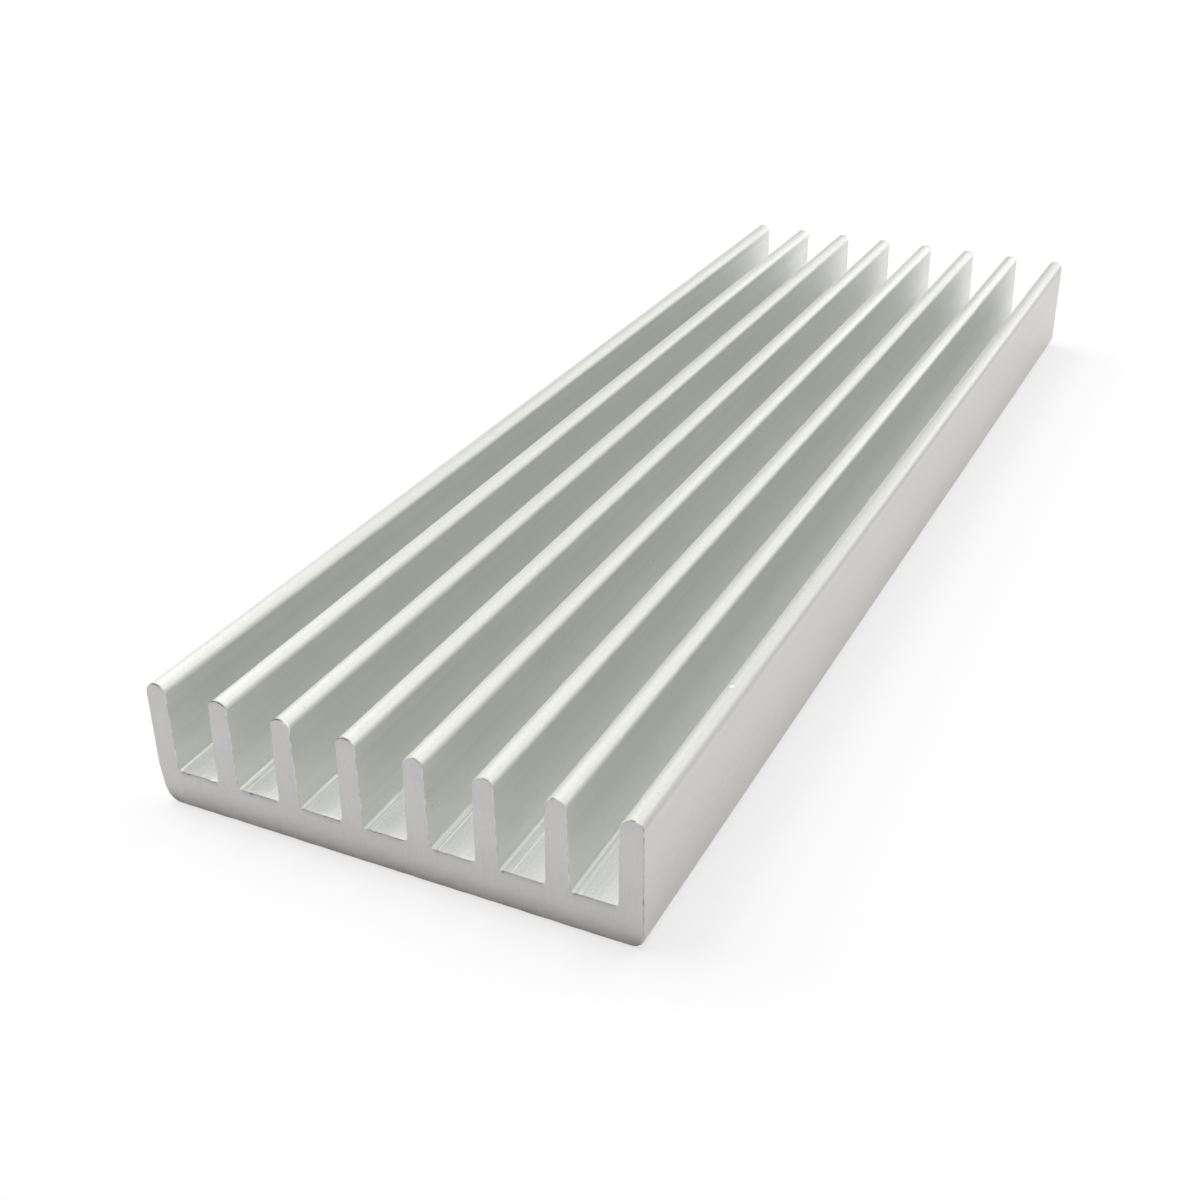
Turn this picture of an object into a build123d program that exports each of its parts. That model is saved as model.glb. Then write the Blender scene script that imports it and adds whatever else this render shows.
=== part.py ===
from build123d import *
import os
from math import cos, radians, tan

# An extruded aluminium heat sink: a flat base with upright plate fins along its whole length.
# The origin is at the middle of the underside, the fins point up and run along Y.
# All sizes are in millimetres, and the drafts and the lean are in degrees.

# Overall
width = 48.5                  # over the outer walls of the two outer fins
length = 150.0                # between the two saw cuts
base_thickness = 3.75         # underside to channel floor
fin_height = 8.95             # channel floor to fin tip

# Fins
fin_count = 8
fin_root_thickness = 2.28     # at the channel floor
fin_draft = 1.1               # of each side that faces a channel
root_fillet = 0.35            # where a fin's side meets the channel floor

# Underside corners, which differ: below the channel floors the left wall leans in
right_corner_radius = 1.2
left_lean = 8.5
left_bend_radius = 12.0       # between the upright left wall and its lean
left_corner_radius = 1.4

half_width = width / 2
overall_height = base_thickness + fin_height
fin_pitch = (width - fin_root_thickness) / (fin_count - 1)
fin_feet = [-half_width + index * fin_pitch for index in range(fin_count)]
left_foot_of_base = -half_width + base_thickness * tan(radians(left_lean))


def plate_fin(foot, left_draft, right_draft):
    """A fin that stands on the channel floor, its two sides running into a full-round tip."""
    left, right = radians(left_draft), radians(right_draft)
    taper = tan(left) + tan(right)
    top_thickness = fin_root_thickness - fin_height * taper
    tip_radius = top_thickness / (1 / cos(left) + 1 / cos(right) - taper)
    centre_x = foot + (fin_height - tip_radius) * tan(left) + tip_radius / cos(left)
    tip = CenterArc(
        (centre_x, overall_height - tip_radius),
        tip_radius,
        start_angle=right_draft,
        arc_size=180 - left_draft - right_draft,
    )
    left_root = (foot, base_thickness)
    right_root = (foot + fin_root_thickness, base_thickness)
    return make_face([tip, Polyline(tip @ 1, left_root, right_root, tip @ 0)])


def base_plate():
    """The base under all the fins, with its left wall leaning in."""
    corners = [
        (-half_width, base_thickness),
        (left_foot_of_base, 0),
        (half_width, 0),
        (half_width, base_thickness),
    ]
    return make_face(Polyline(*corners, close=True))


def corner_at(section, x, y):
    """The section's corner nearest to a point."""
    return section.vertices().sort_by_distance((x, y, 0))[0]


def extrusion_section():
    """Base and fins as one outline, every corner eased as the die leaves it."""
    section = base_plate()
    for index, foot in enumerate(fin_feet):
        left_draft = 0 if index == 0 else fin_draft
        right_draft = 0 if index == fin_count - 1 else fin_draft
        section += plate_fin(foot, left_draft, right_draft)

    floor_ends = fin_feet[1:] + [foot + fin_root_thickness for foot in fin_feet[:-1]]
    section = fillet([corner_at(section, x, base_thickness) for x in floor_ends], root_fillet)
    section = fillet(corner_at(section, half_width, 0), right_corner_radius)
    section = fillet(corner_at(section, left_foot_of_base, 0), left_corner_radius)
    return fillet(corner_at(section, -half_width, base_thickness), left_bend_radius)


heat_sink = extrude(Plane.XZ * extrusion_section(), amount=length / 2, both=True)

os.makedirs("parts", exist_ok=True)
export_step(heat_sink, "parts/heat_sink.step")
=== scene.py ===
import math

import bpy
from mathutils import Matrix, Vector, noise
from mathutils.geometry import delaunay_2d_cdt


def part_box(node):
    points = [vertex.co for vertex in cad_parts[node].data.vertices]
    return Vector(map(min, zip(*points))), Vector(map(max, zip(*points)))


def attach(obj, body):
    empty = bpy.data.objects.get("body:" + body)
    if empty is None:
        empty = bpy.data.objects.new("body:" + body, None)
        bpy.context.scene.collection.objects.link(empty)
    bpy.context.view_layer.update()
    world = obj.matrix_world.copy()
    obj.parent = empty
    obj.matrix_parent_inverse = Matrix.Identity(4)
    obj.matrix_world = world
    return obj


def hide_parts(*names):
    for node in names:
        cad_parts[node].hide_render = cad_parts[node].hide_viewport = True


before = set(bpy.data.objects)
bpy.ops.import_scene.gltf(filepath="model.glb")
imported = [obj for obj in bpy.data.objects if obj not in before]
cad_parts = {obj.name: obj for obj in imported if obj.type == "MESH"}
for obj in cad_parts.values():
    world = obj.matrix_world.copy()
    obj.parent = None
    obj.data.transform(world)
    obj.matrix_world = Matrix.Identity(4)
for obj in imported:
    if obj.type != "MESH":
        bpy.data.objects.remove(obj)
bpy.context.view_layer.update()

# A length of extruded aluminium heat sink, as it lies after the saw.
# The object's own sizes are in millimetres here and become metres when the mesh is made.

mm = 0.001
boxLow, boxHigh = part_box("heat_sink")
halfWidth = boxHigh.x / mm
halfLength = boxHigh.y / mm
height = boxHigh.z / mm

profile = {
    "finCount": 8,
    "floorHeight": 3.75,       # underside to channel floor
    "finRoot": 2.28,           # fin thickness at the floor
    "finDraft": 1.1,           # degrees, of each side that faces a channel
    "rootFillet": 0.24,        # as tight as the photograph shows it
    "rightCorner": 1.2,        # underside corner radii
    "leftCorner": 1.4,
    "leftLean": 8.5,           # degrees, of the left wall below the floors
    "leftBend": 12.0,          # radius where that lean begins
}


def arcPoints(centre, radius, startAngle, endAngle, count):
    # points round an arc in degrees, the last one left out
    points = []
    for i in range(count):
        angle = math.radians(startAngle + (endAngle - startAngle) * i / count)
        points.append((centre[0] + radius * math.cos(angle), centre[1] + radius * math.sin(angle)))
    return points


def arcEnd(centre, radius, angle):
    return arcPoints(centre, radius, angle, angle, 1)[0]


# Lines that the die draws along each channel floor, from the left one to the right one:
# distance from the floor's left corner, height, and half width
floorLines = [
    [(1.6, 0.006, 0.05), (2.7, -0.006, 0.05)],
    [(0.48, -0.012, 0.06), (0.76, 0.024, 0.045), (2.9, 0.008, 0.05)],
    [(0.42, -0.010, 0.05), (0.62, 0.010, 0.045), (1.05, -0.006, 0.05)],
    [(0.40, -0.014, 0.04), (0.57, 0.016, 0.04), (0.72, -0.014, 0.04), (0.87, 0.018, 0.04)],
    [(0.55, -0.030, 0.045), (0.70, 0.028, 0.045), (1.2, 0.006, 0.05)],
    [(0.45, -0.010, 0.06), (0.98, -0.014, 0.045), (1.09, 0.034, 0.045), (1.26, 0.008, 0.04)],
    [(0.45, -0.014, 0.05), (0.60, 0.016, 0.04), (0.77, 0.014, 0.04)],
]
# The same on the fin sides: fin, side, height above the underside, rise or groove, half width
sideLines = [
    (3, "rightSide", 11.05, 0.012, 0.05),
    (3, "rightSide", 6.3, -0.006, 0.07),
    (4, "rightSide", 9.6, 0.005, 0.08),
    (1, "rightSide", 7.2, -0.005, 0.08),
    (0, "rightSide", 10.9, 0.006, 0.08),
    (5, "rightSide", 10.2, 0.005, 0.08),
]
# The fin tips are a little fuller on the right than a true half round
shoulder = {
    "turns": (24, 24, 24, 24, 25, 26, 28, 40),   # degrees above level, fin by fin
    "rise": 0.1,
    "lastRise": 0.07,
    "reach": 0.6,                                # along the outline
}

outlineSteps = {
    "underside": 0.45,
    "outerWall": 0.34,
    "finSide": 0.46,
    "floor": 0.12,
    "tip": 24,                 # points round a fin tip
    "corner": 8,
    "rootFillet": 4,
    "leftBend": 4,
    "lineSpread": (-2, -1, 0, 1, 2),   # points across a die line, in half widths
}
sharpAngle = 32                # degrees between two faces that meet in a crisp edge


def finShape(index):
    # foot, drafts and tip arc of one fin, counted from the left
    last = profile["finCount"] - 1
    pitch = (2 * halfWidth - profile["finRoot"]) / last
    foot = -halfWidth + index * pitch
    left = math.radians(0 if index == 0 else profile["finDraft"])
    right = math.radians(0 if index == last else profile["finDraft"])
    tall = height - profile["floorHeight"]
    taper = math.tan(left) + math.tan(right)
    top = profile["finRoot"] - tall * taper
    radius = top / (1 / math.cos(left) + 1 / math.cos(right) - taper)
    centre = foot + (tall - radius) * math.tan(left) + radius / math.cos(left)
    return {"foot": foot, "left": left, "right": right, "radius": radius, "centre": centre}


def straightRun(start, end, step, lines=()):
    # points from start up to end, end left out, about a step apart and closer together at each line
    length = math.dist(start, end)
    count = max(1, round(length / step))
    places = [length * i / count for i in range(count)]
    for place, width in lines:
        near = [place + width * k for k in outlineSteps["lineSpread"]]
        places = [p for p in places if not near[0] - width / 2 < p < near[-1] + width / 2]
        places += [p for p in near if 0 < p < length]
    return [
        (start[0] + (end[0] - start[0]) * p / length, start[1] + (end[1] - start[1]) * p / length)
        for p in sorted(places)
    ]


def finSidePoints(index, side, start, end):
    rising = 1 if end[1] > start[1] else -1
    lines = [
        ((z - start[1]) * rising, width)
        for fin, lineSide, z, _, width in sideLines
        if fin == index and lineSide == side
    ]
    return straightRun(start, end, outlineSteps["finSide"], lines)


def tipArc(fin):
    # centre and radius of a fin's tip, and the angles where it meets the right and left sides
    centre = (fin["centre"], height - fin["radius"])
    return centre, fin["radius"], math.degrees(fin["right"]), 180 - math.degrees(fin["left"])


def tipEnd(fin, side):
    centre, radius, right, left = tipArc(fin)
    return arcEnd(centre, radius, left if side == "left" else right)


def leftCornerX():
    # where the underside ends and the left corner begins
    lean = math.radians(profile["leftLean"])
    foot = -halfWidth + profile["floorHeight"] * math.tan(lean)
    return foot + profile["leftCorner"] * math.tan((math.pi / 2 - lean) / 2)


def baseRuns(lastFin):
    # along the underside, round its right corner and up the right wall
    corner, steps = profile["rightCorner"], outlineSteps
    start, end = (leftCornerX(), 0), (halfWidth - corner, 0)
    wallFoot = (halfWidth, corner)
    wallTop = (halfWidth, height - lastFin["radius"])
    wallMarks = [(mark["at"][0] - corner, mark["size"][0] / 2) for mark in marks
                 if mark["on"][0] == "rightWall"]
    return [
        (straightRun(start, end, steps["underside"]), "underside"),
        (arcPoints((halfWidth - corner, corner), corner, -90, 0, steps["corner"]), "rightCorner"),
        (straightRun(wallFoot, wallTop, steps["outerWall"], wallMarks), "rightWall"),
    ]


def channelRuns(index, fin, neighbour):
    # down a fin's left side, over the channel floor and up the right side of the fin before it
    floorZ, fillet, draft = profile["floorHeight"], profile["rootFillet"], profile["finDraft"]
    steps = outlineSteps
    turn = 90 - draft
    reach = fillet * math.tan(math.radians(turn) / 2)
    channelLeft = neighbour["foot"] + profile["finRoot"]
    floorRight = (fin["foot"] - reach, floorZ)
    floorLeft = (channelLeft + reach, floorZ)
    rightFillet = (fin["foot"] - reach, floorZ + fillet)
    leftFillet = (channelLeft + reach, floorZ + fillet)
    rightFoot = arcEnd(rightFillet, fillet, -draft)
    leftFoot = arcEnd(leftFillet, fillet, 270 - turn)
    run = floorRight[0] - floorLeft[0]
    lines = [(run - (place - reach), width) for place, _, width in floorLines[index - 1]]
    return [
        (finSidePoints(index, "leftSide", tipEnd(fin, "left"), rightFoot), "leftSide", index),
        (arcPoints(rightFillet, fillet, -draft, -90, steps["rootFillet"]), "fillet", index),
        (straightRun(floorRight, floorLeft, steps["floor"], lines), "floor", index),
        (arcPoints(leftFillet, fillet, 270, 270 - turn, steps["rootFillet"]), "fillet", index),
        (finSidePoints(index - 1, "rightSide", leftFoot, tipEnd(neighbour, "right")),
         "rightSide", index - 1),
    ]


def leftWallRuns(firstFin):
    # down the left wall, in where it leans, and round its corner to the underside
    bend, corner, lean = profile["leftBend"], profile["leftCorner"], profile["leftLean"]
    steps = outlineSteps
    bendZ = profile["floorHeight"] + bend * math.tan(math.radians(lean) / 2)
    bendCentre = (-halfWidth + bend, bendZ)
    cornerCentre = (leftCornerX(), corner)
    leanStart = arcEnd(bendCentre, bend, 180 + lean)
    leanEnd = arcEnd(cornerCentre, corner, 180 + lean)
    return [
        (straightRun(tipEnd(firstFin, "left"), (-halfWidth, bendZ), steps["outerWall"]), "leftWall"),
        (arcPoints(bendCentre, bend, 180, 180 + lean, steps["leftBend"]), "leftWall"),
        (straightRun(leanStart, leanEnd, steps["outerWall"]), "leftWall"),
        (arcPoints(cornerCentre, corner, 180 + lean, 270, steps["corner"]), "leftCorner"),
    ]


def heatSinkOutline():
    # the section's outline, anticlockwise seen from the near end, each point tagged with its place
    fins = [finShape(i) for i in range(profile["finCount"])]
    outline = []

    def add(points, place, index=0):
        outline.extend({"x": x, "z": z, "place": place, "index": index} for x, z in points)

    for run in baseRuns(fins[-1]):
        add(*run)
    for index in reversed(range(profile["finCount"])):
        add(arcPoints(*tipArc(fins[index]), outlineSteps["tip"]), "tip", index)
        if index > 0:
            for run in channelRuns(index, fins[index], fins[index - 1]):
                add(*run)
    for run in leftWallRuns(fins[0]):
        add(*run)
    return outline


def outwardNormals(outline):
    normals = []
    for i, here in enumerate(outline):
        before, after = outline[i - 1], outline[(i + 1) % len(outline)]
        run = Vector((after["x"] - before["x"], after["z"] - before["z"])).normalized()
        normals.append((run.y, -run.x))
    return normals


def bump(distance, width):
    # 1 on the line, fading to nothing two widths away
    away = abs(distance) / (2 * width)
    return (1 - away * away) ** 2 if away < 1 else 0


def dieLineHeight(point):
    # how far the die's lines raise the skin here
    if point["place"] == "floor":
        left = finShape(point["index"] - 1)["foot"] + profile["finRoot"]
        return sum(rise * bump(point["x"] - left - place, width)
                   for place, rise, width in floorLines[point["index"] - 1])
    return sum(
        rise * bump(point["z"] - z, width)
        for fin, side, z, rise, width in sideLines
        if point["place"] == side and point["index"] == fin
    )


def tipTurn(point):
    # how far round its tip a point lies: 0 on the right, 90 degrees on top
    fin = finShape(point["index"])
    return math.degrees(math.atan2(point["z"] - height + fin["radius"], point["x"] - fin["centre"]))


def shoulderRise(point):
    if point["place"] not in ("tip", "rightSide"):
        return 0
    fin = finShape(point["index"])
    middle = math.radians(shoulder["turns"][point["index"]])
    if point["place"] == "tip":
        away = fin["radius"] * (math.radians(tipTurn(point)) - middle)
    else:
        away = fin["radius"] * middle + height - fin["radius"] - point["z"]
    last = point["index"] == profile["finCount"] - 1
    return shoulder["lastRise" if last else "rise"] * bump(away, shoulder["reach"] / 2)


# Small marks that the photograph shows: surface and fin, place across it (x on a tip, height on a
# wall) and along it, half size each way, depth, and how dark it is, or light below 0
marks = [
    {"on": ("tip", 7), "at": (22.75, -33.95), "size": (0.2, 0.5), "depth": 0.04, "tone": -0.7},
    {"on": ("tip", 7), "at": (22.85, -42.8), "size": (0.3, 0.3), "depth": 0.06, "tone": -0.3},
    {"on": ("tip", 7), "at": (22.95, -43.3), "size": (0.12, 0.2), "depth": 0.04, "tone": 0.3},
    {"on": ("tip", 7), "at": (23.0, -53.9), "size": (0.35, 0.3), "depth": 0.07, "tone": -0.4},
    {"on": ("tip", 7), "at": (22.8, -54.2), "size": (0.15, 0.2), "depth": 0.04, "tone": 0.3},
    {"on": ("tip", 7), "at": (22.7, -47.3), "size": (0.2, 0.3), "depth": 0.04, "tone": -0.2},
    {"on": ("tip", 3), "at": (-2.95, -72.05), "size": (0.1, 0.09), "depth": 0.04, "tone": 0.65},
    {"on": ("tip", 3), "at": (-3.55, -72.8), "size": (0.09, 0.09), "depth": 0.03, "tone": 0.5},
    {"on": ("tip", 3), "at": (-2.9, -73.05), "size": (0.09, 0.09), "depth": 0.03, "tone": 0.45},
    {"on": ("tip", 2), "at": (-9.25, -72.1), "size": (0.1, 0.1), "depth": 0.04, "tone": 0.65},
    {"on": ("tip", 2), "at": (-9.75, -73.3), "size": (0.12, 0.2), "depth": 0.03, "tone": 0.2},
    {"on": ("rightWall", 0), "at": (7.15, -65.35), "size": (0.3, 0.3), "depth": 0.03, "tone": 0.06},
    {"on": ("rightWall", 0), "at": (6.25, -58.7), "size": (0.2, 0.4), "depth": 0.03, "tone": 0.08},
]
# The fine grid round them: how far past a mark it goes, its step, and the widest gap that it fills
markGrid = {"margin": 0.1, "step": 0.07, "join": 0.3}


def acrossOf(point):
    return point["x"] if point["place"] == "tip" else point["z"]


def markAt(point, y):
    # how deep the marks make one place, and how dark, or light where the tone is below 0
    depth, tone = 0, 0
    for mark in marks:
        if (point["place"], point["index"]) != mark["on"]:
            continue
        across = (acrossOf(point) - mark["at"][0]) / mark["size"][0]
        away = math.hypot(across, (y - mark["at"][1]) / mark["size"][1])
        if away < 1:
            share = (1 - away * away) ** 2
            depth += mark["depth"] * share
            tone += mark["tone"] * share
    return depth, tone


def markSpans():
    # stretches of the length that hold marks, the overlapping ones joined
    spans = []
    for mark in sorted(marks, key=lambda mark: mark["at"][1] - mark["size"][1]):
        reach = mark["size"][1] + markGrid["margin"]
        low, high = mark["at"][1] - reach, mark["at"][1] + reach
        if spans and low < spans[-1]["high"] + markGrid["join"]:
            spans[-1]["high"] = max(spans[-1]["high"], high)
            spans[-1]["marks"].append(mark)
        else:
            spans.append({"low": low, "high": high, "marks": [mark]})
    return spans


def markColumns(outline, span):
    # runs of outline points round the marks of one stretch, first and last point of each
    chosen = set()
    for i, point in enumerate(outline):
        for mark in span["marks"]:
            reach = mark["size"][0] + 2 * markGrid["margin"]
            onMark = (point["place"], point["index"]) == mark["on"]
            if onMark and abs(acrossOf(point) - mark["at"][0]) < reach:
                chosen.add(i)
    runs = []
    for i in sorted(chosen):
        if runs and i == runs[-1][1] + 1:
            runs[-1][1] = i
        else:
            runs.append([i, i])
    return runs


# Rows along the length: close together at the saw cuts
rowPlan = {
    "fromCut": [0, 0.05, 0.1, 0.15, 0.2, 0.27, 0.36, 0.5, 0.8, 1.25],
    "fromFarCut": [0, 0.06, 0.12, 0.2, 0.3, 0.45, 0.7, 1.1, 2.5, 5.0],
    "middleStep": 7.0,
    "gap": 1,                  # to the nearest other row
}


def rowPlaces(spans):
    near = [-halfLength + depth for depth in rowPlan["fromCut"]]
    far = [halfLength - depth for depth in reversed(rowPlan["fromFarCut"])]
    rows = near + far
    for span in spans:
        rows += [span["low"], span["high"]]
    stretch = far[0] - near[-1]
    count = round(stretch / rowPlan["middleStep"])
    for i in range(1, count):
        place = near[-1] + stretch * i / count
        inSpan = any(span["low"] < place < span["high"] for span in spans)
        if not inSpan and min(abs(place - y) for y in rows) > rowPlan["gap"]:
            rows.append(place)
    return sorted(rows)


# What the saw leaves round each cut
sawCut = {
    "inset": 0.05,             # cut face to the furthest burr
    "insetRun": 1.0,           # length over which the skin draws in by that much
    "nearSeed": 3.7,           # of what wanders along the rims
    "farSeed": 41.3,
    "fade": 0.07,              # how far a rim's dark runs in along the skin
    "tipFade": 0.12,
    "nickFade": 0.3,           # what a nick adds to that, as a share of its depth
    "nickReach": 0.24,         # how far a nick runs in from the cut
    "nickCurve": 0.8,
    "lipPlace": 0.06,          # where behind the cut a burr is highest
    "lipWidth": 0.07,
    "lipRun": 0.1,             # how far behind the cut a burr also stands forward
    "lipForward": 0.8,
}
# Bevel of each rim: its size, the share it varies by and the pitch of that
bevels = {
    "low": {"size": 0.15, "vary": 0.35, "pitch": 1.3},     # underside and its corners
    "side": {"size": 0.08, "vary": 0.3, "pitch": 0.5},     # fin sides and right wall
    "rest": {"size": 0.06, "vary": 0.6, "pitch": 0.9},
}
# Painted shade along the underside's cut edge, where the part meets the floor, and on the cut face beside
# it
lowRim = {
    "darkBelow": 1.3,          # where the dark has faded out round the corners
    "dark": 0.85,
    "shade": 0.3,              # of the cut face beside the rim
    "shadeVary": 0.15,
    "shadePitch": 0.5,
}
# The rims of the fin sides and of the near end's bruised right edge
sideRim = {"dark": 0.2, "darkVary": 0.45, "darkPitch": 0.35, "darkest": 0.4}
bruisedRim = {"dark": 0.25, "darkVary": 0.2, "darkPitch": 0.45, "nick": 0.04}
# Painted shade along the channel floors' cut edges, deeper in the nicks, and under them on the cut face
floorRim = {
    "deepest": 0.17,           # nick in a channel floor's edge
    "coarse": 0.35,
    "coarsePitch": 0.55,
    "fine": 0.6,
    "finePitch": 0.14,
    "whole": 0.08,             # unevenness that tears nothing yet
    "nickGain": 1.2,
    "nickMost": 0.8,           # of the deepest, away from the torn places
    "tearMost": 0.9,           # of the deepest, in them
    "tear": 0.7,
    "tearVary": 0.6,
    "dark": 0.4,
    "nickShade": 0.3,           # what a nick adds, all of it from a depth of nickFull
    "nickFull": 0.1,
    "lip": 0.03,
    "shade": 0.12,
}
tipRim = {"vary": 0.35, "varyPitch": 0.25, "roundness": 0.4}
# A far tip's rim of painted shade behind a burr: middle value and how far it varies from fin to fin
farTipRim = {"start": (-0.7, 0.4), "end": (0.7, 0.3), "dark": (0.5, 0.3), "lip": 0.04, "pitch": 2.3}

# Burrs on the near end's fin tips, with painted shade behind them and a painted highlight on a bright one:
# fin, span across the tip, darkness, lip, lightness
tipRims = [
    (0, -0.60, 0.68, 1.0, 0.04, 0.0),
    (1, -0.70, 0.20, 1.0, 0.05, 0.0),
    (1, 0.05, 0.90, 1.0, 0.06, 0.0),
    (2, -0.84, 0.42, 1.0, 0.05, 0.0),
    (2, 0.50, 1.00, 0.0, 0.13, 1.0),
    (3, -0.93, 0.65, 0.8, 0.03, 0.0),
    (4, -0.10, 0.97, 0.45, 0.03, 0.0),
    (5, -0.10, 0.80, 0.6, 0.05, 0.0),
    (6, -0.45, 0.10, 0.5, 0.03, 0.0),
    (7, -0.20, 0.35, 0.9, 0.04, 0.0),
    (7, 0.45, 1.06, 0.6, 0.04, 0.0),
]
# Torn places on the near end's floor edges: across the part, half width, depth
floorTears = [
    (-20.95, 0.35, 0.12), (-18.1, 0.3, 0.12), (-14.05, 0.25, 0.18), (-12.9, 0.2, 0.14),
    (-8.15, 0.2, 0.10), (-6.2, 0.2, 0.12), (-5.5, 0.3, 0.13), (-4.8, 0.25, 0.12),
    (-1.95, 0.2, 0.10), (-1.0, 0.2, 0.10), (1.1, 0.7, 0.08), (4.6, 0.3, 0.12), (5.1, 0.25, 0.10),
    (5.95, 0.15, 0.14), (8.0, 0.5, 0.08), (11.35, 0.3, 0.12), (18.55, 0.2, 0.14), (18.1, 0.4, 0.06),
]
# Dark bruises on the near end's right edge: height, half width, darkness
edgeBruises = [(8.4, 0.25, 0.6), (7.5, 0.3, 0.4), (6.25, 0.3, 0.45), (5.05, 0.35, 1.0),
               (3.2, 0.25, 0.5), (1.5, 0.25, 0.45), (11.3, 0.5, 0.5)]


def raggedness(point, pitch, seed):
    # a number from about -1 to 1 that wanders round the outline
    return noise.noise(Vector((point["x"] / pitch, point["z"] / pitch, seed)))


def lowEdge(point, seed):
    # the underside and its corners: painted shade along the cut edge where the part meets the floor, and
    # on the cut face beside it
    low = max(0, 1 - point["z"] / lowRim["darkBelow"])
    wander = lowRim["shadeVary"] * raggedness(point, lowRim["shadePitch"], seed + 2)
    return {"dark": lowRim["dark"] * low, "shade": low * (lowRim["shade"] + wander)}


def sideEdge(point, seed):
    wander = sideRim["darkVary"] * raggedness(point, sideRim["darkPitch"], seed + 7)
    return {"dark": min(sideRim["darkest"], max(0.0, sideRim["dark"] + wander))}


def bruisedEdge(point, seed, dark):
    # the near end's right edge, darker and a little pushed in at its bruises
    for z, width, darkness in edgeBruises:
        dark = max(dark, darkness * bump(point["z"] - z, width / 2))
    wander = bruisedRim["darkVary"] * raggedness(point, bruisedRim["darkPitch"], seed + 3)
    dark = max(dark, bruisedRim["dark"] + wander)
    return {"dark": dark, "nick": bruisedRim["nick"] * dark}


def floorEdge(point, seed, nearEnd):
    # a channel floor's edge, nicked all along and torn in places, with painted shade along it that deepens
    # in the nicks
    rim = floorRim
    coarse = raggedness(point, rim["coarsePitch"], seed + 5)
    fine = raggedness(point, rim["finePitch"], seed + 9)
    tear = max(0, rim["coarse"] * coarse + rim["fine"] * fine - rim["whole"])
    nick = rim["deepest"] * min(rim["nickMost"], rim["nickGain"] * tear)
    if nearEnd:
        for x, width, depth in floorTears:
            torn = depth * bump(point["x"] - x, width / 2)
            nick += torn * (rim["tear"] + rim["tearVary"] * fine)
    nick = max(0, min(nick, rim["deepest"] * rim["tearMost"]))
    return {
        "nick": nick,
        "lip": rim["lip"] * max(0, -fine),
        "dark": rim["dark"] + rim["nickShade"] * min(1, nick / rim["nickFull"]),
        "shade": rim["shade"],
    }


def rimsOnTip(index, seed, nearEnd):
    if nearEnd:
        return [rim[1:] for rim in tipRims if rim[0] == index]
    turn = noise.noise(Vector((index * farTipRim["pitch"], 0, seed)))
    start, end, dark = (
        middle + vary * turn for middle, vary in (farTipRim[key] for key in ("start", "end", "dark"))
    )
    return [(start, end, dark, farTipRim["lip"], 0.0)]


def tipEdge(point, seed, nearEnd):
    # a fin tip's burrs, with painted shade behind them and a painted highlight on a bright one
    across = point["x"] - finShape(point["index"])["centre"]
    ragged = 1 + tipRim["vary"] * raggedness(point, tipRim["varyPitch"], seed + 13)
    dark, light, lip = 0.0, 0.0, 0
    for start, end, darkness, rise, lightness in rimsOnTip(point["index"], seed, nearEnd):
        if start <= across <= end:
            share = math.sin(math.pi * (across - start) / (end - start)) ** tipRim["roundness"]
            dark = max(dark, min(1, darkness * share * ragged))
            light = max(light, lightness * share)
            lip = max(lip, rise * share)
    return {"lip": lip, "dark": dark, "light": light, "fade": sawCut["tipFade"]}


def cutEdge(point, nearEnd):
    # bevel, nick, lip, darkness and lightness of the cut's edge at one point of the outline
    seed = sawCut["nearSeed"] if nearEnd else sawCut["farSeed"]
    place = point["place"]
    edge = {"nick": 0, "lip": 0, "dark": 0.0, "light": 0.0, "shade": 0.0, "fade": sawCut["fade"]}
    bevel = bevels["rest"]
    if place in ("underside", "leftCorner", "rightCorner"):
        bevel = bevels["low"]
        edge.update(lowEdge(point, seed))
    elif place in ("leftSide", "rightSide", "rightWall"):
        bevel = bevels["side"]
        edge.update(sideEdge(point, seed))
    elif place == "floor":
        edge.update(floorEdge(point, seed, nearEnd))
    elif place == "tip":
        edge.update(tipEdge(point, seed, nearEnd))
    if nearEnd and place == "rightWall":
        edge.update(bruisedEdge(point, seed, edge["dark"]))
    edge["bevel"] = bevel["size"] * (1 + bevel["vary"] * raggedness(point, bevel["pitch"], seed))
    return edge


def edgeOffset(edge, depth):
    # how far the skin stands out from the plain section at a depth behind the cut face
    offset = 0
    if depth < edge["bevel"]:
        offset -= edge["bevel"] - depth
    if depth < sawCut["nickReach"]:
        offset -= edge["nick"] * (1 - depth / sawCut["nickReach"]) ** sawCut["nickCurve"]
    offset += edge["lip"] * math.exp(-((depth - sawCut["lipPlace"]) / sawCut["lipWidth"]) ** 2)
    return offset


def rimShare(edge, depth):
    # 1 at the cut, fading to nothing behind it
    reach = edge["fade"] + sawCut["nickFade"] * edge["nick"]
    return max(0, 1 - (depth / (2 * reach)) ** 2)


# The cut faces: a slight relief, and near the last fin's tip a corner that leans in
sawnFace = {
    "step": 0.42,              # grid of the relief
    "margin": 0.2,             # from the rim to that grid
    "relief": 0.010,
    "reliefPitch": 2.1,
    "nearSeed": 11.0,
    "farSeed": 23.0,
    "leanAcross": 2.3,
    "leanDown": 1.0,
    "lean": 0.09,
}


def cutRelief(x, z, nearEnd):
    # how far the cut face sinks at a point
    seed = sawnFace["nearSeed"] if nearEnd else sawnFace["farSeed"]
    pitch = sawnFace["reliefPitch"]
    sink = sawnFace["relief"] * (1 + noise.noise(Vector((x / pitch, z / pitch, seed))))
    if nearEnd and x > halfWidth - sawnFace["leanAcross"] and z > height - sawnFace["leanDown"]:
        sink += sawnFace["lean"] * (z - height + sawnFace["leanDown"])
    return sink


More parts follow.
